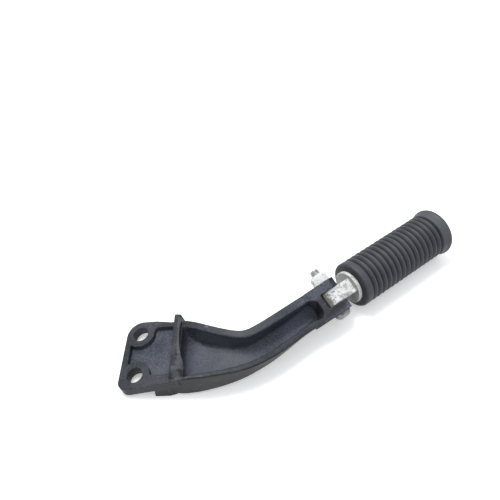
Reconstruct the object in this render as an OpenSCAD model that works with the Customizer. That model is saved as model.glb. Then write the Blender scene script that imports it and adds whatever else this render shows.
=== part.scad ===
// Passenger foot peg bracket for a motorcycle, left as it lies with the channel side up.
// A cast arm carries a two-hole fixing plate at one end and a fork at the other. A fold-down
// peg with a ribbed rubber grip hinges in the fork on an M8 bolt and a lock nut.
// The pad under the plate rests on Z = 0, with the origin below the middle of the two holes.
// +Y runs along the line of the two holes, +X runs to the peg.

/* [Fixing plate] */
// Distance between the two fixing holes
hole_pitch = 36.6; // [30:0.1:45]
// Diameter of the fixing holes
hole_d = 12.6; // [8:0.1:14]
// Thickness of the plate round the holes
plate_t = 8; // [6:0.5:10]
// Height of the channel side of the plate above the pad, at the holes
plate_h = 12; // [10:0.5:16]
// Slope of the plate against the pad
plate_tilt = 15; // [8:0.5:18]
// Radius of the bare seat round each hole on the pad side
seat_r = 14.5; // [12:0.5:16]
// Radius of the raised boss round each hole on the channel side
boss_r = 11.4; // [9:0.1:12]
// Depth of the pocket between the bosses
pocket_d = 4.5; // [2:0.5:6]

/* [Cross wall] */
// Width of the top face of the cross wall
wall_t = 4.8; // [3:0.2:8]
// Height of the cross wall above the pad
wall_h = 24.2; // [22:0.2:28]
// Reach of the cross wall past the middle of the plate, on the far side
wall_reach = 28.5; // [26:0.5:34]
// Rounding of the two far corners of the cross wall
wall_corner = 2.5; // [1:0.5:4]
// Place where the wall's top starts to drop to the near rim
wall_end = 20.8; // [18:0.2:24]
// Height of the wall's far lug above the pad
lug_h = 4; // [2:0.5:8]
// Rounding of the pad's corner beside the wall
pad_corner = 7; // [4:0.5:10]
// Step from the side of the plate in to the side of the pad
pad_step = 0.4; // [0.2:0.1:1]

/* [Arm] */
// Width of the rim on the far side of the channel
rim_far = 6.2; // [3:0.1:8]
// Width of the rim on the near side of the channel
rim_near = 4.8; // [3:0.1:7]
// Rounding of the two lower edges of the arm
arm_round = 4; // [2:0.5:6]
// Rounding along both sides of the channel floor
floor_round = 3; // [1:0.5:4]
// Twist of the fork about the arm
fork_twist = 26; // [0:1:30]
// Direction of the arm in plan at the fork
fork_az = 36.2; // [30:0.2:45]
// Rise of the arm at the fork
fork_slope = 3.6; // [0:0.2:6]

/* [Fork] */
// Width over both ears
fork_w = 28; // [26:0.5:34]
// Width of the slot for the peg
slot_w = 13; // [10:0.1:16]
// Length of the slot behind the hinge axis
slot_back = 12; // [11:0.5:14]
// Length of the fork's square block behind the slot
block_l = 10; // [8:0.5:14]
// Thickness of the web between the slot and the end of the channel
web_t = 5; // [3:0.2:8]
// Distance from the hinge axis to the ears' ends
ear_end = 8.4; // [7:0.2:12]
// Depth of the fork below the hinge axis
ear_drop = 11.5; // [10:0.5:13]
// Height of the rim above the hinge axis
ear_top = 11; // [9:0.5:13]
// Rounding of the ears' ends on the channel side
ear_corner = 8.4; // [2:0.2:8.4]
// Rounding of the ears' ends on the closed side
ear_heel = 8; // [2:0.5:8]

/* [Bolt and nut] */
// Diameter of the bolt
bolt_d = 8; // [6:1:10]
// Running clearance of the bolt in the peg and the ears, on the radius
bolt_play = 0.06; // [0.02:0.01:0.1]
// Diameter of the bolt head
head_d = 14; // [12:0.5:16]
// Height of the bolt head
head_h = 4.4; // [3:0.1:6]
// Size of the nut across its flats
nut_af = 13; // [11:0.5:15]
// Height of the nut
nut_h = 8; // [6:0.5:9]
// Length of thread that stands out of the nut
thread_out = 4.5; // [1:0.5:6]

/* [Peg] */
// Width of the flat tongue in the slot
tongue_w = 12.4; // [9:0.1:15]
// Height of the tongue
tongue_h = 18; // [14:0.5:20]
// Clearance from the back of the tongue to the end of the slot
tongue_gap = 1.6; // [1:0.1:3]
// Rounding of the tongue's back edge and of its root at the collar
tongue_round = 1.4; // [0.6:0.2:3]
// Distance from the hinge axis to the collar
collar_x = 17; // [15:0.5:20]
// Diameter of the collar
collar_d = 27.5; // [24:0.5:32]
// Thickness of the collar
collar_t = 3.6; // [2:0.2:5]
// Diameter of the spindle in the grip
spindle_d = 18; // [14:0.5:20]
// Fold of the peg from its stop, as it lies
peg_fold = 4; // [0:1:78]

/* [Grip] */
// Length of the rubber grip
grip_l = 102.5; // [80:0.5:120]
// Diameter over the ribs
grip_d = 39; // [34:0.5:44]
// Number of ribs
rib_count = 15; // [8:1:20]
// Distance from rib to rib
rib_pitch = 5.5; // [4:0.1:8]
// Depth of the grooves between the ribs
rib_depth = 1.9; // [1:0.1:3]
// Length of the smooth band beside the collar
band_l = 7.5; // [4:0.5:12]
// Diameter of the flared outer end
flare_d = 42.4; // [40:0.2:46]
// Width of the two long grooves under the grip
tread_groove = 2.2; // [1:0.1:4]
// Distance between the two long grooves
tread_space = 12; // [8:0.5:18]

/* [Hidden] */
$fn = 64;

black_coat = [0.10, 0.11, 0.13];
zinc = [0.66, 0.67, 0.66];
nylon = [0.80, 0.80, 0.74];
rubber = [0.09, 0.09, 0.10];

pivot = [151.1, 46.8, 21.4];
peg_down = peg_fold;
collar_end = collar_x + collar_t;
grip_x = collar_end + 0.2;
half_slot = slot_w / 2;
half_fork = fork_w / 2;
bore_r = bolt_d / 2 + bolt_play;

// Stations along the arm: place of the middle of the rim, direction in plan, twist,
// half width, depth of the casting, thickness of the floor, rounding of the lower edges,
// and how much narrower the near rim is there.
stations = [
    [28.8, -1.6, 19.4, 0, 0, 25.9, 17.6, 16.8, 0.6, 2.2],
    [32.0, -1.6, 20.3, 0, 0, 26.2, 18.4, 16.3, 0.6, 2.2],
    [35.0, -1.6, 21.2, 0, 0, 26.5, 19.3, 12.3, 0.8, 2.0],
    [38.0, -2.0, 22.1, 0, 0, 26.2, 20.2, 8.5, 1.0, 1.8],
    [43.0, -2.9, 23.3, -1, 0, 25.2, 21.2, 5.1, 1.4, 1.4],
    [51.0, -4.5, 24.6, -2, 1, 23.2, 22.0, 3.9, 2.2, 0.9],
    [64.0, -5.8, 25.8, 2, 4, 19.7, 22.3, 4.8, 3.4, 0.4],
    [77.2, -5.5, 26.4, 12, 9, 16.4, 21.6, 5.0, 4, 0],
    [87.5, -2.9, 26.9, 23, 13, 14.4, 21.5, 5.0, 4, 0],
    [98.8, 3.5, 27.5, 32, 16, 14.0, 21.5, 5.0, 4, 0],
    [109.9, 11.6, 28.2, 36, 18, 13.6, 21.6, 5.0, 4, 0],
    [123.7, 22.0, 29.1, 36.2, 21, 13.2, 21.9, 5.0, 4, 0],
    [131.5, 27.3, 29.6, 36.2, 24, 13.3, 22.2, 5.0, 3.2, 0],
    [139.1, 32.4, 30.1, 36.2, 26, 13.5, 22.4, 5.0, 1.4, 0],
];
steps = 4;

// Smooth curve through four rows of numbers.
function blend(a, b, c, d, t) =
    0.5 * ((2 * b) + (c - a) * t + (2 * a - 5 * b + 4 * c - d) * t * t
    + (3 * b - a - 3 * c + d) * t * t * t);

function row(i) = stations[max(0, min(len(stations) - 1, i))];

rings = [
    for (i = [0 : len(stations) - 2])
        for (k = [0 : steps - 1])
            blend(row(i - 1), row(i), row(i + 1), row(i + 2), k / steps),
    row(len(stations) - 1)
];

function arc2(cx, cy, r, a0, a1, n) =
    [for (k = [0 : n]) [cx + r * cos(a0 + (a1 - a0) * k / n), cy + r * sin(a0 + (a1 - a0) * k / n)]];

// Open channel section: first number runs to the far side, second up from the rim.
function section(w, d, ft, lower, thin) =
    let (e = 0.8, fl = -d + ft, fr = min(floor_round, (d - ft) / 2))
    let (ar = lower * arm_round / 4, dr = 0.2 * ar, rn = rim_near - thin)
    concat(
        [[w - rim_far, -min(e, fr)], [w - rim_far + e, 0], [w - e, 0], [w, -e]],
        arc2(w - ar - dr, -d + ar, ar, 0, -90, 3),
        arc2(-w + ar + dr, -d + ar, ar, -90, -180, 3),
        [[-w, -e], [-w + e, 0], [-w + rn - e, 0], [-w + rn, -min(e, fr)]],
        arc2(-w + rn + 1 + fr, fl + fr, fr, 180, 270, 3),
        arc2(w - rim_far - 1 - fr, fl + fr, fr, -90, 0, 3)
    );

// Puts one section point into space for one station.
function place(s, p) =
    let (
        n = [-sin(s[3]), cos(s[3]), 0],
        side = n * cos(s[4]) + [0, 0, sin(s[4])],
        up = [0, 0, cos(s[4])] - n * sin(s[4])
    )
    [s[0], s[1], s[2]] + side * p[0] + up * p[1];

module swept_arm() {
    loops = [for (s = rings) [for (p = section(s[5], s[6], s[7], s[8], s[9])) place(s, p)]];
    m = len(loops[0]);
    n = len(loops);
    polyhedron(
        points = [for (l = loops) each l],
        faces = concat(
            [[for (j = [m - 1 : -1 : 0]) j]],
            [[for (j = [0 : m - 1]) (n - 1) * m + j]],
            [for (i = [0 : n - 2]) for (j = [0 : m - 1])
                [i * m + j, i * m + (j + 1) % m, (i + 1) * m + (j + 1) % m]],
            [for (i = [0 : n - 2]) for (j = [0 : m - 1])
                [i * m + j, (i + 1) * m + (j + 1) % m, (i + 1) * m + j]]
        ),
        convexity = 6
    );
}

module at_plate() {
    translate([0, 0, plate_h]) rotate([0, -plate_tilt, 0]) children();
}

module at_fork() {
    translate(pivot) rotate([0, 0, fork_az]) rotate([0, -fork_slope, 0])
        rotate([fork_twist, 0, 0]) children();
}

module at_peg() {
    at_fork() rotate([0, peg_down, 0]) rotate([0, 90, 0]) children();
}

// Outline of the plate in its own plane, moved inwards by i.
module plate_outline(i = 0) {
    polygon(concat(
        arc2(0.8, 17.5, 12.0 - i, 90, 180, 10),
        arc2(-5.4, -22.4, 7.2 - i, 180, 270, 8),
        [[17.4, -29.2 + i], [27.2, -28.6 + i], [34.6, -28.4 + i]],
        [[34.6, 24.2 - i], [24.8, 25.2 - i], [12, 28.4 - i]]
    ));
}

module hole_places() {
    for (s = [-1, 1]) translate([0, s * hole_pitch / 2]) children();
}

// Outline of the pad beside the wall, with one rounded corner.
module pad_outline() {
    c = [34.4 - pad_corner, pad_step - 28.4 + pad_corner];
    translate([-30, -50]) square([c[0] + 30, 100]);
    translate([c[0] - 1, c[1]]) square([pad_corner + 1, 60]);
    translate(c) circle(pad_corner);
}

// Flange, and the pad under it that stands on Z = 0, cut back round the two bare seats.
module plate_body() {
    at_plate() translate([0, 0, -plate_t]) linear_extrude(plate_t) plate_outline();
    difference() {
        intersection() {
            at_plate() translate([0, 0, -40]) linear_extrude(40 - plate_t / 2) plate_outline(pad_step);
            linear_extrude(wall_h) pad_outline();
        }
        for (s = [-1, 1]) translate([1, s * hole_pitch / 2, -1]) {
            cylinder(r = seat_r, h = wall_h);
            translate([-40, s > 0 ? 0 : -40]) cube([40 + seat_r, 40, wall_h]);
        }
        at_plate() translate([-40, -50, -plate_t / 2]) cube([120, 100, 60]);
    }
}

// Pocket between the bosses, with the two corners beside them rounded.
module pocket_outline() {
    difference() {
        union() {
            translate([-7.2, -8]) square([35, 24]);
            polygon([[9, -20.6], [27.8, -20.8], [27.8, 20.8], [9, 23]]);
            translate([4, -16]) square([10, 30]);
        }
        hole_places() circle(boss_r);
        difference() {
            translate([9, 18.9]) square([5.6, 6]);
            translate([14.6, 19]) circle(3.3);
        }
        difference() {
            translate([9, -24]) square([5.2, 5.6]);
            translate([14.2, -18.2]) circle(2.4);
        }
    }
}

// Wall across the casting, with a lug past its far side. It is thicker at its foot,
// and on top toward its near end, where it drops to the near rim.
module cross_wall() {
    reach = wall_reach + 26;
    difference() {
        intersection() {
            union() {
                translate([0, wall_reach, 0]) rotate([90, 0, 0]) linear_extrude(reach)
                    polygon([[25.6, 0], [33.8, 0], [36.2, 3], [34.4, 16], [27.0 + wall_t, wall_h - 0.6],
                        [26.4 + wall_t, wall_h], [27.4, wall_h], [26.8, wall_h - 0.6], [26.2, 14]]);
                translate([0, 0, 2.6]) linear_extrude(wall_h - 2.6) polygon([[27.4, 20], [30, 20],
                    [27.0 + wall_t, 8], [27.8 + wall_t, 0], [29.4 + wall_t, -8], [31.4 + wall_t, -14],
                    [32.4 + wall_t, -19], [32.4 + wall_t, -26], [27.4, -26]]);
            }
            union() {
                translate([20, wall_reach - reach, -1]) cube([30, reach - wall_corner, 40]);
                translate([25.4 + wall_corner, 10, -1])
                    cube([10.9 - 2 * wall_corner, wall_reach - 10, 40]);
                for (x = [25.4 + wall_corner, 36.3 - wall_corner])
                    translate([x, wall_reach - wall_corner, -1]) cylinder(r = wall_corner, h = 40);
            }
        }
        translate([20, 24.1, -1]) cube([30, 20, lug_h + 1]);
        rotate([90, 0, 90]) linear_extrude(60)
            polygon([[-wall_end, wall_h], [-30, wall_h - 7.2], [-30, 40], [-wall_end, 40]]);
    }
}

// Side view of the fork: a block with one round corner above and one below.
module fork_side() {
    translate([-slot_back - block_l, -ear_drop]) square([slot_back + block_l, ear_drop + ear_top]);
    translate([-1, ear_heel - ear_drop]) square([ear_end + 1, ear_drop - ear_heel + ear_top - ear_corner]);
    intersection() {
        translate([ear_end - ear_corner, ear_top - ear_corner]) circle(ear_corner);
        translate([-1, 0]) square([30, 30]);
    }
    intersection() {
        translate([ear_end - ear_heel, ear_heel - ear_drop]) circle(ear_heel);
        translate([-1, -30]) square([30, 30]);
    }
}

module fork_body() {
    at_fork() rotate([90, 0, 0]) translate([0, 0, -half_fork]) linear_extrude(fork_w) fork_side();
}

// End of the channel in the fork's block, with two rounded corners.
module channel_end() {
    near = -half_fork + rim_near;
    far = half_fork - rim_far - 1;
    x1 = -slot_back - web_t;
    r = 5.4;
    at_fork() translate([0, 0, -ear_drop + 5.6]) linear_extrude(40) {
        translate([-slot_back - block_l - 1, near]) square([block_l + 1 - web_t - r, far - near]);
        translate([x1 - r - 1, near + r]) square([r + 1, far - near - 2 * r]);
        for (y = [near + r, far - r]) translate([x1 - r, y]) circle(r);
    }
}

module bracket_casting() {
    color(black_coat) difference() {
        union() {
            plate_body();
            cross_wall();
            swept_arm();
            fork_body();
        }
        at_plate() translate([0, 0, -pocket_d]) linear_extrude(pocket_d + 4) pocket_outline();
        at_plate() translate([0, 0, -30]) linear_extrude(60) hole_places() circle(d = hole_d);
        at_plate() translate([10.5, 25.2, -0.5]) cylinder(d = 3.6, h = 4);
        channel_end();
        at_fork() translate([-slot_back, -half_slot, -30]) cube([40, slot_w, 60]);
        at_fork() rotate([90, 0, 0]) translate([0, 0, -40]) cylinder(r = bore_r, h = 80);
    }
}

// Button head bolt, head on the near ear.
module pivot_bolt() {
    color(zinc) at_fork() rotate([-90, 0, 0]) difference() {
        union() {
            translate([0, 0, -half_fork]) cylinder(d = bolt_d, h = fork_w + nut_h + thread_out - 0.8);
            translate([0, 0, half_fork + nut_h + thread_out - 0.8])
                cylinder(d1 = bolt_d, d2 = bolt_d - 1.6, h = 0.8);
            translate([0, 0, -half_fork]) rotate([180, 0, 0]) rotate_extrude()
                polygon([[0, 0], [head_d / 2, 0], [head_d / 2, 0.9], [head_d / 2 - 0.7, 2.3],
                    [head_d / 2 - 2, 3.5], [head_d / 2 - 3.4, head_h], [0, head_h]]);
        }
        translate([0, 0, -half_fork - head_h - 1]) cylinder(d = 5, h = 3.6, $fn = 6);
    }
}

// Hexagon lock nut, chamfered at both ends, with a round collar that holds the insert.
module lock_nut() {
    color(zinc) at_fork() rotate([-90, 0, 0]) rotate([0, 0, 25]) translate([0, 0, half_fork]) difference() {
        union() {
            intersection() {
                cylinder(d = nut_af / cos(30), h = nut_h - 1.6, $fn = 6);
                rotate_extrude() polygon([[0, 0], [nut_af / 2, 0], [nut_af / cos(30) / 2, 0.6],
                    [nut_af / cos(30) / 2, nut_h - 2.4], [nut_af / 2, nut_h - 1.6], [0, nut_h - 1.6]]);
            }
            translate([0, 0, nut_h - 1.7]) cylinder(d1 = nut_af - 0.4, d2 = nut_af - 1.6, h = 1.7);
        }
        translate([0, 0, -1]) cylinder(r = bolt_d / 2 + 0.03, h = 20);
        translate([0, 0, nut_h - 2.8]) cylinder(d = nut_af - 3, h = 2.4);
    }
}

module nut_insert() {
    color(nylon) at_fork() rotate([-90, 0, 0]) translate([0, 0, half_fork + nut_h - 2.8])
        difference() {
            cylinder(d = nut_af - 3.04, h = 2.3);
            translate([0, 0, -1]) cylinder(r = bolt_d / 2 + 0.03, h = 5);
        }
}

// Tongue, collar and spindle of the peg in one piece.
module peg_core() {
    back = slot_back - tongue_gap;
    root = 2 * tongue_round;
    color(zinc) difference() {
        union() {
            at_fork() rotate([0, peg_down, 0]) rotate([90, 0, 0])
                translate([0, 0, -tongue_w / 2]) linear_extrude(tongue_w) {
                circle(tongue_h / 2);
                translate([0, -tongue_h / 2]) square([collar_x + 1, tongue_h]);
                translate([tongue_round - back, 0]) square([back, tongue_h / 2]);
                translate([-back, 0]) square([back, tongue_h / 2 - tongue_round]);
                translate([tongue_round - back, tongue_h / 2 - tongue_round]) circle(tongue_round);
                for (k = [-1, 1]) difference() {
                    translate([collar_x - root, k > 0 ? tongue_h / 2 - 1 : -tongue_h / 2 - root])
                        square([root + 1, root + 1]);
                    translate([collar_x - root, k * (tongue_h / 2 + root)]) circle(root);
                }
            }
            at_peg() rotate_extrude() polygon([[0, collar_x], [collar_d / 2 - 0.6, collar_x],
                [collar_d / 2, collar_x + 0.6], [collar_d / 2, collar_end - 0.6],
                [collar_d / 2 - 0.6, collar_end], [spindle_d / 2, collar_end],
                [spindle_d / 2, grip_x + grip_l - 14], [spindle_d / 2 - 2, grip_x + grip_l - 12],
                [0, grip_x + grip_l - 12]]);
        }
        at_fork() rotate([90, 0, 0]) translate([0, 0, -30]) cylinder(r = bore_r, h = 60);
    }
}

// Ribbed rubber sleeve, closed at its flared outer end.
module grip_rubber() {
    r0 = grip_d / 2;
    r1 = r0 - rib_depth;
    z0 = grip_x + band_l;
    z1 = z0 + rib_count * rib_pitch;
    z2 = grip_x + grip_l;
    color(rubber) difference() {
        at_peg() rotate_extrude() polygon(concat(
            [[0, grip_x], [r0 - 1.2, grip_x], [r0, grip_x + 1.2], [r0, z0 - 0.6], [r1, z0]],
            [for (k = [0 : rib_count - 1]) let (z = z0 + k * rib_pitch)
                each [[r1, z + 1.2], [r0 - 0.5, z + 1.8], [r0, z + 2.6], [r0, z + 4.2],
                    [r0 - 0.5, z + 4.9], [r1, z + rib_pitch]]],
            [[r1, z1 + 1.2], [r0 + 0.1, z1 + 2], [flare_d / 2, z2 - 4.5], [flare_d / 2, z2 - 2.4],
                [flare_d / 2 - 0.7, z2 - 0.9], [flare_d / 2 - 2.4, z2], [0, z2]]
        ));
        at_peg() translate([0, 0, grip_x - 1]) cylinder(r = spindle_d / 2 + 0.05, h = grip_l - 10.5);
        at_peg() for (s = [-1, 1]) translate([r1 - 0.1, s * tread_space / 2 - tread_groove / 2, z0])
            cube([10, tread_groove, z1 - z0 + 0.6]);
    }
}

bracket_casting();
pivot_bolt();
lock_nut();
nut_insert();
peg_core();
grip_rubber();
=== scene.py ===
import math

import bmesh
import bpy
from mathutils import Euler, Matrix, Vector


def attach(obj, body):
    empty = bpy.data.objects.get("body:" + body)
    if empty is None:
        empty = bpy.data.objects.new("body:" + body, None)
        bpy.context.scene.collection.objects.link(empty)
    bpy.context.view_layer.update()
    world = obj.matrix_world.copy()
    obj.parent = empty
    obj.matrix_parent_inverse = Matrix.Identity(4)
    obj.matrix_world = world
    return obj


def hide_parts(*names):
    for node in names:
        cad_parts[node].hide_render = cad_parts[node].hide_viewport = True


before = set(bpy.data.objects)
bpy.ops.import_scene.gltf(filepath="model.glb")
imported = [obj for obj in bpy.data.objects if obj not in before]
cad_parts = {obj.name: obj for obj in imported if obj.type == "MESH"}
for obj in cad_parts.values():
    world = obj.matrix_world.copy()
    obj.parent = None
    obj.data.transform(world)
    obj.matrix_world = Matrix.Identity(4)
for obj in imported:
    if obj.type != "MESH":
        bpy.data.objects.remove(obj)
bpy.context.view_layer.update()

# Places are in the row frame: the pad rests on Z = 0, +Y is the line of the holes, +X to the peg.
# Shapes and tables of places are in millimetres, and the camera and the lamp in metres.

MM = 0.001


# ---------------------------------------------------------------- places shared with the solids

PIVOT = Vector((151.1, 46.8, 21.4)) * MM
FORK_YAW = 36.2
FORK_PITCH = -3.6
FORK_TWIST = 26
PEG_FOLD = 4        # degrees that the peg is folded as it lies

HALF_FORK = 14.0    # from the middle of the fork to the outside of an ear
GRIP_START = 20.8   # from the pivot to the inner end of the grip
GRIP_LENGTH = 102.5


def turned(axis, degrees):
    return Matrix.Rotation(math.radians(degrees), 4, axis)


FORK = (Matrix.Translation(PIVOT) @ turned("Z", FORK_YAW) @ turned("Y", FORK_PITCH)
        @ turned("X", FORK_TWIST))
PEG = FORK @ turned("Y", PEG_FOLD) @ turned("Y", 90)    # +Z from the pivot along the grip
BOLT = FORK @ turned("X", -90)                          # +Z from the bolt's head to its tip


# ---------------------------------------------------------------- node helpers

def add(tree, kind, inputs=None, **settings):
    """A node with its settings, and with values or other sockets on its inputs."""
    made = tree.nodes.new(kind)
    for name, value in settings.items():
        setattr(made, name, value)
    for key, value in (inputs or {}).items():
        if isinstance(value, bpy.types.NodeSocket):
            tree.links.new(value, made.inputs[key])
        else:
            made.inputs[key].default_value = value
    return made


def maths(tree, operation, a, b=0.0, clamp=False):
    made = add(tree, "ShaderNodeMath", {0: a, 1: b}, operation=operation, use_clamp=clamp)
    return made.outputs[0]


def product(tree, first, *others):
    for other in others:
        first = maths(tree, "MULTIPLY", first, other)
    return first


def highest(tree, first, *others):
    for other in others:
        first = maths(tree, "MAXIMUM", first, other)
    return first


def vectors(tree, operation, a, b=None, out="Vector"):
    inputs = {0: a} if b is None else {0: a, 1: b}
    return add(tree, "ShaderNodeVectorMath", inputs, operation=operation).outputs[out]


def split(tree, vector):
    return add(tree, "ShaderNodeSeparateXYZ", {0: vector}).outputs


def span(tree, value, low, high, to_low=0.0, to_high=1.0):
    """A smooth ramp from to_low to to_high while the value goes from low to high."""
    ramp = {"Value": value, "From Min": low, "From Max": high, "To Min": to_low, "To Max": to_high}
    return add(tree, "ShaderNodeMapRange", ramp, interpolation_type="SMOOTHSTEP").outputs["Result"]


def noise(tree, where, scale, detail, rough, distortion=0.0):
    look = {"Vector": where, "Scale": scale, "Detail": detail, "Roughness": rough,
            "Distortion": distortion}
    return add(tree, "ShaderNodeTexNoise", look).outputs["Fac"]


def mix(tree, factor, a, b):
    """Colour a where the factor is 0, and colour b where it is 1."""
    first, second = (colour if isinstance(colour, bpy.types.NodeSocket) else (*colour, 1)
                     for colour in (a, b))
    return add(tree, "ShaderNodeMix", {0: factor, 6: first, 7: second}, data_type="RGBA").outputs[2]


def use(tree, group, **inputs):
    """The outputs of a shared group, with its inputs by name."""
    values = {key.replace("_", " "): value for key, value in inputs.items()}
    return add(tree, "ShaderNodeGroup", values, node_tree=group).outputs


def new_group(name, ins, outs):
    group = bpy.data.node_groups.new(name, "ShaderNodeTree")
    for label, kind, value in ins:
        plug = group.interface.new_socket(label, in_out="INPUT", socket_type=kind)
        if value is not None:
            plug.default_value = value
    for label, kind in outs:
        group.interface.new_socket(label, in_out="OUTPUT", socket_type=kind)
    given, results = group.nodes.new("NodeGroupInput"), group.nodes.new("NodeGroupOutput")
    return group, given.outputs, results.inputs


# ---------------------------------------------------------------- camera, light and floor

CAMERA_PLACE = (0.08536, -0.25456, 0.4010)
CAMERA_TILT = 43
CAMERA_LENS = 43.416
CAMERA_SENSOR = 36

KEY_PLACE = (-0.20, 0.22, 1.18)     # nearly overhead, a little from the left and from behind
KEY_TARGET = (0.10, 0.02, 0.0)
KEY_SIZE = 0.40
KEY_WATTS = 8.4
KEY_COLOUR = (1.0, 0.985, 0.965)

SKY_COLOUR = (0.92, 0.96, 1.0, 1)
SKY_LEVELS = {"From Min": 0.05, "From Max": 1.0, "To Min": 0.12, "To Max": 1.15}
WHITE = (1, 1, 1, 1)

TABLE_HALF = 6
TABLE_TONES = {"To Min": 0.5, "To Max": 0.97}   # what lights the object, and what shows
TABLE_GLOW = (1, 0.98, 0.955, 1)
TABLE_GLOW_STRENGTH = 0.36


def set_camera():
    camera = bpy.data.cameras.new("viewpoint")
    camera.lens = CAMERA_LENS
    camera.sensor_width = CAMERA_SENSOR
    camera.clip_start = 0.01
    camera.clip_end = 40
    stand = bpy.data.objects.new("viewpoint", camera)
    stand.location = CAMERA_PLACE
    stand.rotation_euler = Euler((math.radians(CAMERA_TILT), 0, 0))
    bpy.context.scene.collection.objects.link(stand)
    bpy.context.scene.camera = stand


def set_key_light():
    lamp = bpy.data.lights.new("top_softbox", "AREA")
    lamp.shape = "SQUARE"
    lamp.size = KEY_SIZE
    lamp.energy = KEY_WATTS
    lamp.color = KEY_COLOUR
    stand = bpy.data.objects.new("top_softbox", lamp)
    stand.location = KEY_PLACE
    aim = Vector(KEY_TARGET) - Vector(KEY_PLACE)
    stand.rotation_euler = aim.to_track_quat("-Z", "Y").to_euler()
    bpy.context.scene.collection.objects.link(stand)


def set_world():
    """A cool sky, brightest overhead, and plain white where the camera sees it."""
    world = bpy.data.worlds.new("studio")
    bpy.context.scene.world = world
    world.use_nodes = True
    tree = world.node_tree
    tree.nodes.clear()
    height = split(tree, add(tree, "ShaderNodeTexCoord").outputs["Generated"])["Z"]
    level = add(tree, "ShaderNodeMapRange", {"Value": height, **SKY_LEVELS}).outputs["Result"]
    lit = add(tree, "ShaderNodeBackground", {"Color": SKY_COLOUR, "Strength": level})
    seen = add(tree, "ShaderNodeBackground", {"Color": WHITE, "Strength": 1.0})
    from_camera = add(tree, "ShaderNodeLightPath").outputs["Is Camera Ray"]
    both = add(tree, "ShaderNodeMixShader", {0: from_camera, 1: lit.outputs[0], 2: seen.outputs[0]})
    add(tree, "ShaderNodeOutputWorld", {"Surface": both.outputs[0]})


def lay_floor():
    """A white table that keeps the object's shadow. It lights the object less than it shows."""
    bm = bmesh.new()
    bmesh.ops.create_grid(bm, x_segments=1, y_segments=1, size=TABLE_HALF)
    mesh = bpy.data.meshes.new("table_top")
    bm.to_mesh(mesh)
    bm.free()
    floor = bpy.data.objects.new("table_top", mesh)
    bpy.context.scene.collection.objects.link(floor)
    finish = bpy.data.materials.new("white_table")
    finish.use_nodes = True
    tree = finish.node_tree
    tree.nodes.clear()
    path = add(tree, "ShaderNodeLightPath").outputs
    shown = highest(tree, path["Is Camera Ray"], path["Is Glossy Ray"], path["Is Transmission Ray"])
    tone = add(tree, "ShaderNodeMapRange", {"Value": shown, **TABLE_TONES}).outputs["Result"]
    paper = add(tree, "ShaderNodeBsdfDiffuse", {"Color": tone})
    strength = product(tree, shown, TABLE_GLOW_STRENGTH)
    glow = add(tree, "ShaderNodeEmission", {"Color": TABLE_GLOW, "Strength": strength})
    both = add(tree, "ShaderNodeAddShader", {0: paper.outputs[0], 1: glow.outputs[0]})
    add(tree, "ShaderNodeOutputMaterial", {"Surface": both.outputs[0]})
    mesh.materials.append(finish)


set_camera()
bpy.context.scene.view_settings.view_transform = "Standard"
set_world()
set_key_light()
lay_floor()


# ---------------------------------------------------------------- shared effects

def cast_grain_group():
    """Sand-cast skin under a coat: rounded grains with a few pits."""
    g, i, o = new_group("cast_grain",
                        [("Place", "NodeSocketVector", None), ("Grain", "NodeSocketFloat", 900.0),
                         ("Pits", "NodeSocketFloat", 0.5)],
                        [("Height", "NodeSocketFloat"), ("Tone", "NodeSocketFloat")])
    fine = noise(g, i["Place"], i["Grain"], 4.0, 0.6)
    coarse = noise(g, i["Place"], product(g, i["Grain"], 0.22), 2.0, 0.5)
    cells = add(g, "ShaderNodeTexVoronoi", {"Vector": i["Place"], "Randomness": 1.0,
                                            "Scale": product(g, i["Grain"], 0.3)})
    pit = product(g, span(g, cells.outputs["Distance"], 0.02, 0.16, 1.0, 0.0), i["Pits"])
    height = maths(g, "ADD", product(g, fine, 0.6), product(g, coarse, 0.6))
    g.links.new(maths(g, "SUBTRACT", height, pit), o["Height"])
    large = noise(g, i["Place"], 38.0, 3.0, 0.6)
    small = noise(g, i["Place"], 640.0, 5.0, 0.75)
    g.links.new(maths(g, "ADD", product(g, large, 0.35), product(g, small, 0.65)), o["Tone"])
    return g


def rubbed_edge_group():
    """Edges: a softened normal, and a ragged mask where handling has rubbed them."""
    g, i, o = new_group("rubbed_edge",
                        [("Place", "NodeSocketVector", None), ("Width", "NodeSocketFloat", 0.0006),
                         ("Amount", "NodeSocketFloat", 0.5), ("Ragged", "NodeSocketFloat", 420.0)],
                        [("Mask", "NodeSocketFloat"), ("Normal", "NodeSocketVector")])
    soft = add(g, "ShaderNodeBevel", {"Radius": i["Width"]}, samples=6).outputs["Normal"]
    plain = add(g, "ShaderNodeNewGeometry").outputs["Normal"]
    same = vectors(g, "DOT_PRODUCT", soft, plain, "Value")
    patches = span(g, noise(g, i["Place"], i["Ragged"], 4.0, 0.7), 0.44, 0.62)
    places = span(g, noise(g, i["Place"], 45.0, 2.0, 0.5), 0.36, 0.66)
    mask = product(g, span(g, same, 0.99, 0.86), patches, places)
    g.links.new(maths(g, "MULTIPLY", mask, i["Amount"], True), o["Mask"])
    g.links.new(soft, o["Normal"])
    return g


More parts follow.
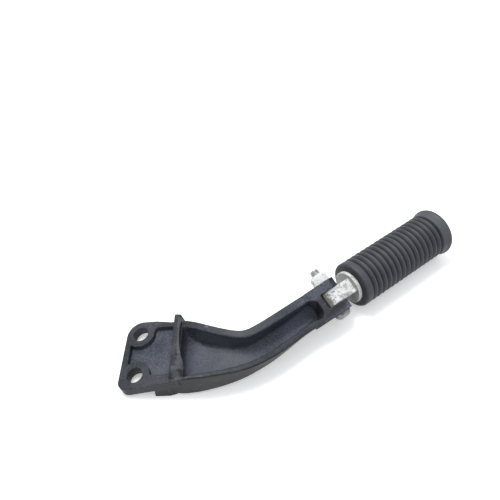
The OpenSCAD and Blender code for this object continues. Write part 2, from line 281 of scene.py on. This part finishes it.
def rub_mark_group():
    """A ragged mark along the line between two places."""
    g, i, o = new_group("rub_mark",
                        [("Place", "NodeSocketVector", None), ("Start", "NodeSocketVector", None),
                         ("End", "NodeSocketVector", None), ("Width", "NodeSocketFloat", 0.001),
                         ("Ragged", "NodeSocketFloat", 500.0), ("Cover", "NodeSocketFloat", 0.5)],
                        [("Mask", "NodeSocketFloat")])
    along = vectors(g, "SUBTRACT", i["End"], i["Start"])
    here = vectors(g, "SUBTRACT", i["Place"], i["Start"])
    length = maths(g, "ADD", vectors(g, "DOT_PRODUCT", along, along, "Value"), 1e-9)
    share = maths(g, "DIVIDE", vectors(g, "DOT_PRODUCT", here, along, "Value"), length, True)
    near = add(g, "ShaderNodeVectorMath", {0: along, "Scale": share}, operation="SCALE").outputs[0]
    away = maths(g, "DIVIDE", vectors(g, "DISTANCE", here, near, "Value"), i["Width"])
    ragged = maths(g, "SUBTRACT", noise(g, i["Place"], i["Ragged"], 5.0, 0.7), 0.5)
    body = span(g, maths(g, "ADD", away, product(g, ragged, 2.2)), 1.15, 0.35)
    g.links.new(maths(g, "MULTIPLY", body, i["Cover"], True), o["Mask"])
    return g


def scratches_group():
    """Two sets of fine scratches that cross, in scattered patches."""
    g, i, o = new_group("scratches",
                        [("Place", "NodeSocketVector", None),
                         ("Fineness", "NodeSocketFloat", 900.0), ("Turn", "NodeSocketFloat", 0.5)],
                        [("Mask", "NodeSocketFloat")])
    masks = []
    for angle, stretch in ((0.0, 0.05), (1.1, 0.08)):
        turn = add(g, "ShaderNodeCombineXYZ", {"Z": maths(g, "ADD", i["Turn"], angle)}).outputs[0]
        spun = add(g, "ShaderNodeVectorRotate", {"Vector": i["Place"], "Rotation": turn},
                   rotation_type="EULER_XYZ").outputs[0]
        lines = noise(g, vectors(g, "MULTIPLY", spun, (stretch, 1, 1)), i["Fineness"], 2.0, 0.5)
        off_middle = maths(g, "ABSOLUTE", maths(g, "SUBTRACT", lines, 0.5))
        masks.append(span(g, off_middle, 0.012, 0.0))
    few = span(g, noise(g, i["Place"], 160.0, 2.0, 0.5), 0.5, 0.62)
    g.links.new(product(g, highest(g, *masks), few), o["Mask"])
    return g


CAST_GRAIN = cast_grain_group()
RUBBED_EDGE = rubbed_edge_group()
RUB_MARK = rub_mark_group()
SCRATCHES = scratches_group()


def rub_marks(tree, place, marks, space=Matrix()):
    """One mask for a table of marks: start, end, width, and how much each covers."""
    masks = [use(tree, RUB_MARK, Place=place, Width=width * MM, Cover=cover,
                 Start=space @ (Vector(start) * MM), End=space @ (Vector(end) * MM))["Mask"]
             for start, end, width, cover in marks]
    return highest(tree, *masks)


def facing(tree, direction, low, high):
    """How far a face looks in a direction."""
    normal = add(tree, "ShaderNodeNewGeometry").outputs["Normal"]
    share = vectors(tree, "DOT_PRODUCT", normal, Vector(direction).normalized(), "Value")
    return span(tree, share, low, high)


def along_axis(tree, place, space):
    """Distance from the pivot along the bolt's axis or the peg's."""
    axis = space.to_3x3() @ Vector((0, 0, 1))
    return vectors(tree, "DOT_PRODUCT", vectors(tree, "SUBTRACT", place, PIVOT), axis, "Value")


def off_axis(tree, place, space):
    """Distance from that axis."""
    axis = space.to_3x3() @ Vector((0, 0, 1))
    cross = vectors(tree, "CROSS_PRODUCT", vectors(tree, "SUBTRACT", place, PIVOT), axis)
    return vectors(tree, "LENGTH", cross, out="Value")


# ---------------------------------------------------------------- finishes

def new_finish(name):
    finish = bpy.data.materials.new(name)
    finish.use_nodes = True
    tree = finish.node_tree
    tree.nodes.clear()
    shader = add(tree, "ShaderNodeBsdfPrincipled")
    add(tree, "ShaderNodeOutputMaterial", {"Surface": shader.outputs[0]})
    return finish, tree, shader, add(tree, "ShaderNodeTexCoord").outputs["Object"]


def drive(tree, shader, **sources):
    """Links sockets to the shader's inputs."""
    for key, source in sources.items():
        tree.links.new(source, shader.inputs[key.replace("_", " ")])


def bumps(tree, height, strength, distance, normal):
    return add(tree, "ShaderNodeBump", {"Height": height, "Strength": strength,
                                        "Distance": distance, "Normal": normal}).outputs[0]


COAT_PLAIN = ((0.017, 0.019, 0.025), (0.046, 0.049, 0.061))
# paler colours for the low floors: dust together with painted light
COAT_DUSTED_AND_LIT = ((0.042, 0.048, 0.068), (0.104, 0.114, 0.148))
COAT_DUSTED_AND_LIT_BY_FORK = ((0.085, 0.095, 0.130), (0.180, 0.195, 0.250))
# painted shade for the near flank
COAT_PAINTED_SHADE_FLANK = (0.013, 0.0125, 0.014)
COAT_DUST = (0.12, 0.12, 0.135)
COAT_RUBBED = (0.17, 0.17, 0.185)
COAT_SCUFFED_AND_LIT = (0.15, 0.15, 0.17)

ARM_BEND = 80.0 * MM        # X where the middle line of the arm turns to the fork
ARM_BEND_SLOPE = 0.72       # and how far it goes to +Y from there
ARM_MIDDLE = -5.0 * MM      # Y of the middle line up to there
MIDDLE_BLEND = 2.0 * MM
CHANNEL_FROM = (34.0 * MM, 37.0 * MM)       # X, from the cross wall on
CHANNEL_FLOOR = (19.0 * MM, 15.0 * MM)      # Z, less the rise of the floor past the bend
FLOOR_RISE = 0.11
BY_FORK = (100.0 * MM, 128.0 * MM)          # X, where the dust and painted light on the floors grow towards the fork
POCKET_TO = (30.0 * MM, 28.0 * MM)          # X
POCKET_FLOOR = (8.8 * MM, 7.6 * MM)         # Z, less the slope of the plate
PLATE_SLOPE = 0.268

CHIPPED_END = ((31, -12, 24), (32, -26, 20), 6)     # near end of the cross wall, and width
SCUFFS_AND_LIT_TOP = (                                          # start, end, width, cover
    ((31.2, 24, 24.2), (33.2, -10, 24.2), 2.0, 0.42),           # painted light on the top of the cross wall; the marks below it are scuffs
    ((34.0, -4, 24.2), (37.0, -16, 24.2), 1.2, 0.55),
    ((33.0, -13, 24.2), (32.6, -19, 24.0), 2.6, 0.35),
    ((30, -20, 24), (33, -26, 20), 3.4, 0.4),
    ((51.6, 17.2, 25), (52.6, 16.4, 25), 1.3, 0.8),             # far rim
    ((38.6, -26.4, 22.4), (53.0, -26.6, 24.6), 0.34, 0.95),     # near rim
    ((47, -24, 4), (50, -25, 8), 2.4, 0.12),                    # low on the near flank
    ((58, -2, 6), (66, 5, 6.5), 1.6, 0.25),                     # floor of the channel
    ((9.4, 27.0, 14.6), (12.6, 25.6, 15.2), 0.9, 0.45),         # plate
    ((118.0, 27.4, 28.6), (121.0, 29.2, 28.8), 0.8, 0.5),       # rims by the fork
    ((141.6, 33.0, 29.6), (146.6, 36.4, 30.0), 0.6, 0.5),
)


def dust_and_light_floors(tree, place):
    """Floors of the channel and of the plate's pocket, paler from pale dust and from painted light
    that lifts their shade.
    """
    at = split(tree, place)
    past_bend = maths(tree, "SUBTRACT", at["X"], ARM_BEND)
    rise = maths(tree, "MAXIMUM", product(tree, past_bend, FLOOR_RISE), 0.0)
    over_floor = maths(tree, "SUBTRACT", at["Z"], rise)
    channel = product(tree, span(tree, at["X"], *CHANNEL_FROM),
                      span(tree, over_floor, *CHANNEL_FLOOR))
    over_plate = maths(tree, "SUBTRACT", at["Z"], product(tree, at["X"], PLATE_SLOPE))
    pocket = product(tree, span(tree, at["X"], *POCKET_TO), span(tree, over_plate, *POCKET_FLOOR))
    return product(tree, highest(tree, channel, pocket), facing(tree, (0, 0, 1), 0.55, 0.85))


def near_half(tree, place):
    """1 on the near side of the arm's middle line, and 0 on its far side."""
    at = split(tree, place)
    past_bend = maths(tree, "SUBTRACT", at["X"], ARM_BEND)
    turned_off = maths(tree, "MAXIMUM", product(tree, past_bend, ARM_BEND_SLOPE), 0.0)
    middle = maths(tree, "ADD", turned_off, ARM_MIDDLE)
    return span(tree, maths(tree, "SUBTRACT", at["Y"], middle), MIDDLE_BLEND, -MIDDLE_BLEND)


def coat_colour_and_light(tree, place, tone):
    """The coat: paler on the low floors from dust and painted light, with painted light on the far
    wall and painted shade on the near flank, where they face the camera.
    """
    speckle = span(tree, tone, 0.41, 0.59)
    near = near_half(tree, place)
    to_camera = facing(tree, (0.1, -1, 0.1), 0.30, 0.7)
    # painted light: the far wall, where it faces the camera, takes the floors' paler colour
    far_wall_painted_light = product(tree, to_camera, maths(tree, "SUBTRACT", 1.0, near))
    low = highest(tree, dust_and_light_floors(tree, place), product(tree, far_wall_painted_light, 0.8))
    dusted_and_lit = mix(tree, product(tree, low, 0.75), mix(tree, speckle, *COAT_PLAIN),
                 mix(tree, speckle, *COAT_DUSTED_AND_LIT))
    # more dust and painted light in the deep end by the fork, where the channel's shade is deepest
    dust_and_light_by_fork = product(tree, low, span(tree, split(tree, place)["X"], *BY_FORK))
    deep = mix(tree, dust_and_light_by_fork, dusted_and_lit, mix(tree, speckle, *COAT_DUSTED_AND_LIT_BY_FORK))
    # painted shade: the near flank is darkened where it faces the camera
    return mix(tree, product(tree, to_camera, near, 0.9), deep, COAT_PAINTED_SHADE_FLANK)


def black_coat():
    """Worn black paint on rough cast metal."""
    finish, tree, shader, place = new_finish("black_coat")
    grain = use(tree, CAST_GRAIN, Place=place, Grain=1000.0, Pits=0.5)
    edge = use(tree, RUBBED_EDGE, Place=place, Width=1.1 * MM, Amount=0.9)
    scratch = product(tree, use(tree, SCRATCHES, Place=place, Fineness=700.0, Turn=0.7)["Mask"],
                      0.35)
    dusty = span(tree, noise(tree, place, 24.0, 3.0, 0.6), 0.45, 0.75)
    specks = product(tree, span(tree, noise(tree, place, 620.0, 2.0, 0.5), 0.7, 0.76), dusty, 0.8)
    dust = mix(tree, product(tree, dusty, 0.2), coat_colour_and_light(tree, place, grain["Tone"]), COAT_DUST)
    rubbed = mix(tree, highest(tree, edge["Mask"], specks, scratch), dust, COAT_RUBBED)
    # scuffs, and painted light on the top of the cross wall
    scuffed_and_lit = mix(tree, rub_marks(tree, place, SCUFFS_AND_LIT_TOP), rubbed, COAT_SCUFFED_AND_LIT)
    start, end, width = CHIPPED_END
    chipped = use(tree, RUB_MARK, Place=place, Start=Vector(start) * MM, End=Vector(end) * MM,
                  Width=width * MM, Ragged=260.0, Cover=1.0)["Mask"]
    lumps = product(tree, chipped, noise(tree, place, 430.0, 5.0, 0.75), 6.0)
    height = maths(tree, "ADD", grain["Height"], lumps)
    drive(tree, shader, Base_Color=scuffed_and_lit,
          Roughness=span(tree, grain["Tone"], 0.3, 0.7, 0.44, 0.58),
          Normal=bumps(tree, height, 0.7, 0.22 * MM, edge["Normal"]))
    shader.inputs["Specular IOR Level"].default_value = 0.32
    return finish


HEAD_FACE = (-13.4 * MM, -13.9 * MM)    # the bolt's head begins here, in the shade of the ear
HEAD_SHADE = (0.05, 0.05, 0.055)


def plated(name, light, dark, stain_scale, stain, metal, head_shade=0.0):
    """Dull zinc plating with water stains and a few dark scratches."""
    finish, tree, shader, place = new_finish(name)
    edge = use(tree, RUBBED_EDGE, Place=place, Width=0.3 * MM, Amount=0.4)
    scratch = use(tree, SCRATCHES, Place=place, Fineness=1100.0, Turn=1.9)["Mask"]
    cloud = noise(tree, place, stain_scale, 5.0, 0.65, 0.6)
    dull = product(tree, span(tree, cloud, 0.46, 0.62), stain)
    grime = highest(tree, dull, product(tree, scratch, 0.6))
    head = product(tree, span(tree, along_axis(tree, place, BOLT), *HEAD_FACE), head_shade)
    height = maths(tree, "SUBTRACT", noise(tree, place, 2600.0, 3.0, 0.6), scratch)
    drive(tree, shader, Base_Color=mix(tree, head, mix(tree, grime, light, dark), HEAD_SHADE),
          Roughness=span(tree, cloud, 0.35, 0.65, 0.34, 0.55),
          Metallic=maths(tree, "SUBTRACT", metal, product(tree, dull, 0.4)),
          Normal=bumps(tree, height, 0.35, 0.05 * MM, edge["Normal"]))
    return finish


COLLAR_FROM = (16.0 * MM, 16.6 * MM)    # along the peg's axis
COLLAR_TO = (17.6 * MM, 17.2 * MM)
PEG_BRIGHT = (0.86, 0.86, 0.84)
PEG_COLLAR = (0.40, 0.40, 0.39)
PEG_STAIN = (0.30, 0.30, 0.28)
PEG_DIRT = (0.13, 0.125, 0.11)
PEG_SCRATCH = (0.2, 0.2, 0.2)

TONGUE_DIRT = (                             # start, end, width, cover, in the fork's frame
    ((-11.0, -6.2, 8.8), (-10.2, 4.0, 8.8), 8.0, 1.0),      # the end in the slot
    ((-9.0, -5.4, 9.0), (-6.0, -3.4, 9.0), 2.2, 0.7),
    ((-6.0, -6.2, 9.0), (4.0, -6.2, 9.0), 1.1, 0.75),       # along the near edge
    ((10.0, -4.5, 9.0), (13.0, -5.5, 9.4), 2.4, 0.55),      # by the collar
    ((-8.2, 3.6, 9.0), (-4.6, 2.6, 9.0), 0.7, 0.95),        # two dark scores
    ((-4.4, 4.4, 9.0), (0.6, 3.0, 9.0), 0.6, 0.9),
)


def peg_metal():
    """Cast light metal, stained, with dirt where the tongue enters the slot."""
    finish, tree, shader, place = new_finish("peg_metal")
    edge = use(tree, RUBBED_EDGE, Place=place, Width=0.5 * MM, Amount=0.5)
    scratch = use(tree, SCRATCHES, Place=place, Fineness=900.0, Turn=0.3)["Mask"]
    dirt = rub_marks(tree, place, TONGUE_DIRT, FORK)
    cloud = noise(tree, place, 150.0, 6.0, 0.7, 0.8)
    fleck = product(tree, noise(tree, place, 700.0, 4.0, 0.7), 0.55)
    stain = product(tree, span(tree, maths(tree, "ADD", cloud, fleck), 0.76, 0.90), 0.75)
    along = along_axis(tree, place, PEG)
    collar = product(tree, span(tree, along, *COLLAR_FROM), span(tree, along, *COLLAR_TO))
    clean = mix(tree, collar, PEG_BRIGHT, PEG_COLLAR)
    dirty = mix(tree, dirt, mix(tree, stain, clean, PEG_STAIN), PEG_DIRT)
    grain = maths(tree, "ADD", noise(tree, place, 1400.0, 4.0, 0.6), cloud)
    height = maths(tree, "SUBTRACT", grain, product(tree, scratch, 0.8))
    drive(tree, shader, Base_Color=mix(tree, product(tree, scratch, 0.5), dirty, PEG_SCRATCH),
          Roughness=span(tree, cloud, 0.3, 0.7, 0.42, 0.6),
          Metallic=maths(tree, "SUBTRACT", 0.35, product(tree, dirt, 0.3)),
          Normal=bumps(tree, height, 0.4, 0.12 * MM, edge["Normal"]))
    return finish


RUBBER_TONES = ((0.036, 0.039, 0.049), (0.056, 0.060, 0.074))
RUBBER_GROOVE_SHADE = (0.010, 0.010, 0.013)
RUBBER_CREST_HIGHLIGHT = (0.155, 0.160, 0.175)
RUBBER_SCUFF = (0.15, 0.15, 0.165)
GROOVE_LEVELS = (18.9 * MM, 17.8 * MM)      # off the peg's axis
CREST_LEVELS = (19.35 * MM, 19.65 * MM)


def rubber():
    """Dusty rubber, with painted shade in the grooves and a painted highlight on the crests of the
    ribs.
    """
    finish, tree, shader, place = new_finish("ribbed_rubber")
    edge = use(tree, RUBBED_EDGE, Place=place, Width=0.7 * MM, Amount=0.55, Ragged=300.0)
    tone = noise(tree, place, 55.0, 4.0, 0.6)
    dust = span(tree, noise(tree, place, 420.0, 4.0, 0.7), 0.56, 0.74)
    level = off_axis(tree, place, PEG)
    plain = mix(tree, span(tree, tone, 0.35, 0.7), *RUBBER_TONES)
    # painted shade in the grooves between the ribs
    groove_shaded = mix(tree, span(tree, level, *GROOVE_LEVELS, 0.0, 0.75), plain, RUBBER_GROOVE_SHADE)
    # painted highlight on the crests of the ribs
    crest_lit = mix(tree, span(tree, level, *CREST_LEVELS, 0.0, 0.38), groove_shaded, RUBBER_CREST_HIGHLIGHT)
    scuff = highest(tree, edge["Mask"], product(tree, dust, 0.2))
    height = maths(tree, "ADD", noise(tree, place, 2200.0, 3.0, 0.6), dust)
    drive(tree, shader, Base_Color=mix(tree, scuff, crest_lit, RUBBER_SCUFF),
          Roughness=span(tree, tone, 0.3, 0.7, 0.5, 0.66),
          Normal=bumps(tree, height, 0.3, 0.06 * MM, edge["Normal"]))
    shader.inputs["Specular IOR Level"].default_value = 0.45
    return finish


def nylon():
    finish, tree, shader, place = new_finish("nylon_ring")
    cloud = noise(tree, place, 500.0, 3.0, 0.6)
    drive(tree, shader, Base_Color=mix(tree, cloud, (0.60, 0.60, 0.52), (0.72, 0.72, 0.66)),
          Roughness=span(tree, cloud, 0.3, 0.7, 0.4, 0.55))
    return finish


# ---------------------------------------------------------------- mesh helpers

WELD = 0.002            # points nearer than this are one
SHARP_FROM = 35         # degrees between faces that show an edge


def put(bm, name, space, finish, body, replaced):
    """Turns a bmesh in millimetres into a finished piece that stands for a solid."""
    bmesh.ops.remove_doubles(bm, verts=bm.verts, dist=WELD)
    bmesh.ops.recalc_face_normals(bm, faces=bm.faces)
    bmesh.ops.transform(bm, verts=bm.verts, matrix=space @ Matrix.Scale(MM, 4))
    for face in bm.faces:
        face.smooth = True
    for edge in bm.edges:
        gentle = edge.calc_face_angle(0) < math.radians(SHARP_FROM)
        edge.smooth = len(edge.link_faces) == 2 and gentle
    mesh = bpy.data.meshes.new(name)
    bm.to_mesh(mesh)
    bm.free()
    piece = bpy.data.objects.new(name, mesh)
    bpy.context.scene.collection.objects.link(piece)
    mesh.materials.append(finish)
    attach(piece, body)
    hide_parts(replaced)


def draw(bm, profile):
    """A line through a list of (radius, height), as geometry to spin."""
    verts = [bm.verts.new((radius, 0, height)) for radius, height in profile]
    return verts + [bm.edges.new(pair) for pair in zip(verts, verts[1:])]


def lathe(bm, profile, steps):
    bmesh.ops.spin(bm, geom=draw(bm, profile), cent=(0, 0, 0), axis=(0, 0, 1), dvec=(0, 0, 0),
                   angle=math.tau, steps=steps, use_merge=True, use_duplicate=False)
    bmesh.ops.remove_doubles(bm, verts=bm.verts, dist=WELD)


def open_edges(bm):
    return [edge for edge in bm.edges if len(edge.link_faces) == 1]


# ---------------------------------------------------------------- rubber grip

RIB_PITCH = 5.5
RIB_COUNT = 15
BAND = 7.5              # smooth band at the inner end
OUTER = 19.5            # radius over the ribs
GROOVE = 1.9            # depth between them
FLARE = 21.2            # radius of the outer end
BORE = 9.05
CLOSED_END = 11.4       # thickness of the closed outer end
GRIP_STEPS = 180
TREAD_AT = (-6.0, 6.0)  # two long grooves across the ribs
TREAD_HALF = 1.15       # half their width
TREAD_SIDE = 0.3        # width of their slanted sides

RIB = (                 # share of the pitch, and share of the groove's depth
    (0.0, -0.12), (0.08, -0.12), (0.14, 0.0), (0.20, 0.22), (0.28, 0.50), (0.37, 0.75),
    (0.46, 0.92), (0.55, 1.02), (0.64, 1.06), (0.72, 1.0), (0.79, 0.84), (0.85, 0.58),
    (0.905, 0.26), (0.95, 0.0),
)

RIBS_START = GRIP_START + BAND
RIBS_END = RIBS_START + RIB_COUNT * RIB_PITCH
GRIP_END = GRIP_START + GRIP_LENGTH


def grip_profile():
    """Radius and distance from the pivot, all round the section of the sleeve."""
    root = OUTER - GROOVE
    band = [(BORE, GRIP_START + 0.02), (17.6, GRIP_START), (18.6, GRIP_START + 0.25),
            (19.2, GRIP_START + 0.75), (OUTER, GRIP_START + 1.5), (OUTER, RIBS_START - 1.4),
            (OUTER - 0.15, RIBS_START - 0.8), (OUTER - 0.7, RIBS_START - 0.35),
            (root + 0.2, RIBS_START - 0.08)]
    ribs = [(OUTER - GROOVE * (1 - rise), RIBS_START + (k + share) * RIB_PITCH)
            for k in range(RIB_COUNT) for share, rise in RIB]
    shoulder = [(root, RIBS_END), (root, RIBS_END + 0.9), (root + 0.5, RIBS_END + 1.3),
                (OUTER - 0.2, RIBS_END + 1.8), (OUTER + 0.1, RIBS_END + 2.6),
                (OUTER + 0.5, RIBS_END + 4.4)]
    flare = [(FLARE - inset, GRIP_END - before) for inset, before in
             ((0.8, 5.8), (0.65, 4.9), (0.1, 4.3), (0, 3.7), (0, 2.4), (0.4, 1.3), (1.2, 0.5),
              (2.4, 0.08), (4, 0))]
    face = [(14, GRIP_END), (13.4, GRIP_END - 0.5), (8, GRIP_END - 0.5), (7.4, GRIP_END),
            (0, GRIP_END)]
    bore = [(0, GRIP_END - CLOSED_END), (BORE, GRIP_END - CLOSED_END)]
    return band + ribs + shoulder + flare + face + bore + band[:1]


def cut_tread(bm):
    """Presses two long grooves into the ribs on the side that the foot rests on."""
    root = OUTER - GROOVE
    for vert in bm.verts:
        x, y, z = vert.co
        radius = math.hypot(x, y)
        if x <= 0 or radius <= root or not RIBS_START - 0.2 < z < RIBS_END + 1.0:
            continue
        for middle in TREAD_AT:
            inside = TREAD_HALF - abs(y - middle)
            if inside > 0:
                level = radius + (root - 0.1 - radius) * min(1.0, inside / TREAD_SIDE)
                vert.co.x, vert.co.y = x * level / radius, y * level / radius


def ribbed_grip(finish):
    """Rubber sleeve: rounded ribs, a smooth band, a flared end and the tread grooves."""
    bm = bmesh.new()
    lathe(bm, grip_profile(), GRIP_STEPS)
    cut_tread(bm)
    put(bm, "ribbed_grip", PEG, finish, "peg", "grip_rubber")


# ---------------------------------------------------------------- pivot bolt

SHANK_R = 4.0
SHANK_END = 12.0        # the plain shank ends inside the far ear
HEAD_R = 7.0
HEAD_H = 4.4
HEAD = (                # how far inside the head's radius, and how far out from the ear
    (0.25, 0.01), (0, 0.25), (0, 0.8), (0.25, 1.5), (0.75, 2.3), (1.45, 3.1), (2.3, 3.8),
    (3.1, 4.25),
)
SOCKET_RIM = (3.3, 2.9)                             # radii of the flat round the socket
SOCKET = ((0.0, 2.45), (0.2, 2.3), (2.6, 2.3))      # depth, and half the width over the flats
BOLT_STEPS = 72

THREAD_PITCH = 1.25
THREAD_START = HALF_FORK + 2.0                      # hidden in the nut
THREAD_STEPS = 64
ROOT_INSET = 0.70                                   # from the shank's radius
CREST_INSET = 0.05
THREAD = ((0.0, ROOT_INSET), (0.16, ROOT_INSET), (0.60, CREST_INSET), (0.76, CREST_INSET))
SPARE_TURNS = 3                                     # cut off again at both ends
NUT_H = 8.0
TIP = HALF_FORK + NUT_H + 4.5
TIP_INSET = 0.85        # the chamfer of the tip
TIP_SLOPE = 0.9


def hexagon_radius(angle, apothem):
    return apothem / math.cos((angle % (math.pi / 3)) - math.pi / 6)


def pivot_bolt(finish):
    """Button head bolt with a hexagon socket, and a helical thread past the nut."""
    bm = bmesh.new()
    top = -HALF_FORK - HEAD_H
    profile = [(0, SHANK_END), (SHANK_R, SHANK_END), (SHANK_R, -HALF_FORK - 0.01)]
    profile += [(HEAD_R - inset, -HALF_FORK - out) for inset, out in HEAD]
    profile += [(radius, top) for radius in SOCKET_RIM]
    lathe(bm, profile, BOLT_STEPS)
    rim = open_edges(bm)
    for depth, apothem in SOCKET:
        made = bmesh.ops.extrude_edge_only(bm, edges=rim)["geom"]
        for vert in (item for item in made if isinstance(item, bmesh.types.BMVert)):
            angle = math.atan2(vert.co.y, vert.co.x)
            radius = hexagon_radius(angle, apothem)
            vert.co = (radius * math.cos(angle), radius * math.sin(angle), top + depth)
        rim = [item for item in made if isinstance(item, bmesh.types.BMEdge)]
    bmesh.ops.contextual_create(bm, geom=rim)
    add_thread(bm)
    put(bm, "pivot_bolt_threaded", BOLT, finish, "bracket", "pivot_bolt")


def add_thread(bm):
    """A cut thread from inside the nut to the chamfered tip, as a closed shell of its own."""
    coil = bmesh.new()
    turns = int((TIP - THREAD_START) / THREAD_PITCH) + SPARE_TURNS
    first = THREAD_START - THREAD_PITCH
    profile = [(SHANK_R - inset, first + turn * THREAD_PITCH + height)
               for turn in range(turns) for height, inset in THREAD]
    profile.append((SHANK_R - ROOT_INSET, first + turns * THREAD_PITCH))
    bmesh.ops.spin(coil, geom=draw(coil, profile), cent=(0, 0, 0), axis=(0, 0, 1),
                   dvec=(0, 0, THREAD_PITCH / THREAD_STEPS), angle=math.tau, steps=THREAD_STEPS,
                   use_merge=False, use_duplicate=False)
    bmesh.ops.remove_doubles(coil, verts=coil.verts, dist=0.003)
    for height, outward in ((THREAD_START, (0, 0, -1)), (TIP, (0, 0, 1))):
        bmesh.ops.bisect_plane(coil, geom=coil.verts[:] + coil.edges[:] + coil.faces[:],
                               dist=0.0001, plane_co=(0, 0, height), plane_no=outward,
                               clear_outer=True)
    for vert in coil.verts:
        radius = math.hypot(vert.co.x, vert.co.y)
        limit = SHANK_R - TIP_INSET + (TIP - vert.co.z) * TIP_SLOPE
        if radius > limit:
            vert.co.x *= limit / radius
            vert.co.y *= limit / radius
    bmesh.ops.holes_fill(coil, edges=open_edges(coil))
    bmesh.ops.triangulate(coil, faces=[face for face in coil.faces if len(face.verts) > 8])
    mesh = bpy.data.meshes.new("thread_part")
    coil.to_mesh(mesh)
    coil.free()
    bm.from_mesh(mesh)
    bpy.data.meshes.remove(mesh)


# ---------------------------------------------------------------- solids that stay

def smooth_faces_group(degrees):
    """Joins the loose triangles of a solid and shades faces that meet gently as one."""
    g = bpy.data.node_groups.new("smooth_faces", "GeometryNodeTree")
    g.interface.new_socket("Geometry", in_out="INPUT", socket_type="NodeSocketGeometry")
    g.interface.new_socket("Geometry", in_out="OUTPUT", socket_type="NodeSocketGeometry")
    start, end = g.nodes.new("NodeGroupInput"), g.nodes.new("NodeGroupOutput")
    weld = add(g, "GeometryNodeMergeByDistance", {"Geometry": start.outputs[0], "Distance": 1e-6})
    plain = add(g, "GeometryNodeRemoveAttribute", {"Geometry": weld.outputs[0],
                                                   "Name": "custom_normal"})
    angle = add(g, "GeometryNodeInputMeshEdgeAngle").outputs["Unsigned Angle"]
    gentle = add(g, "FunctionNodeCompare", {0: angle, 1: math.radians(degrees)},
                 operation="LESS_THAN").outputs[0]
    edges = add(g, "GeometryNodeSetShadeSmooth",
                {"Geometry": plain.outputs[0], "Shade Smooth": gentle}, domain="EDGE")
    faces = add(g, "GeometryNodeSetShadeSmooth",
                {"Geometry": edges.outputs[0], "Shade Smooth": True}, domain="FACE")
    g.links.new(faces.outputs[0], end.inputs[0])
    return g


SMOOTH_FACES = smooth_faces_group(28)


def dress(node, finish):
    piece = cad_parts[node]
    piece.data.materials.clear()
    piece.data.materials.append(finish)
    piece.modifiers.new("smooth_faces", "NODES").node_group = SMOOTH_FACES


dress("bracket_casting", black_coat())
dress("lock_nut", plated("zinc_nut", (0.97, 0.97, 0.96), (0.40, 0.41, 0.41),
                         stain_scale=330.0, stain=0.45, metal=0.15))
dress("nut_insert", nylon())
dress("peg_core", peg_metal())
ribbed_grip(rubber())
pivot_bolt(plated("zinc_bolt", (0.62, 0.62, 0.61), (0.12, 0.12, 0.12),
                  stain_scale=420.0, stain=0.7, metal=0.5, head_shade=0.45))
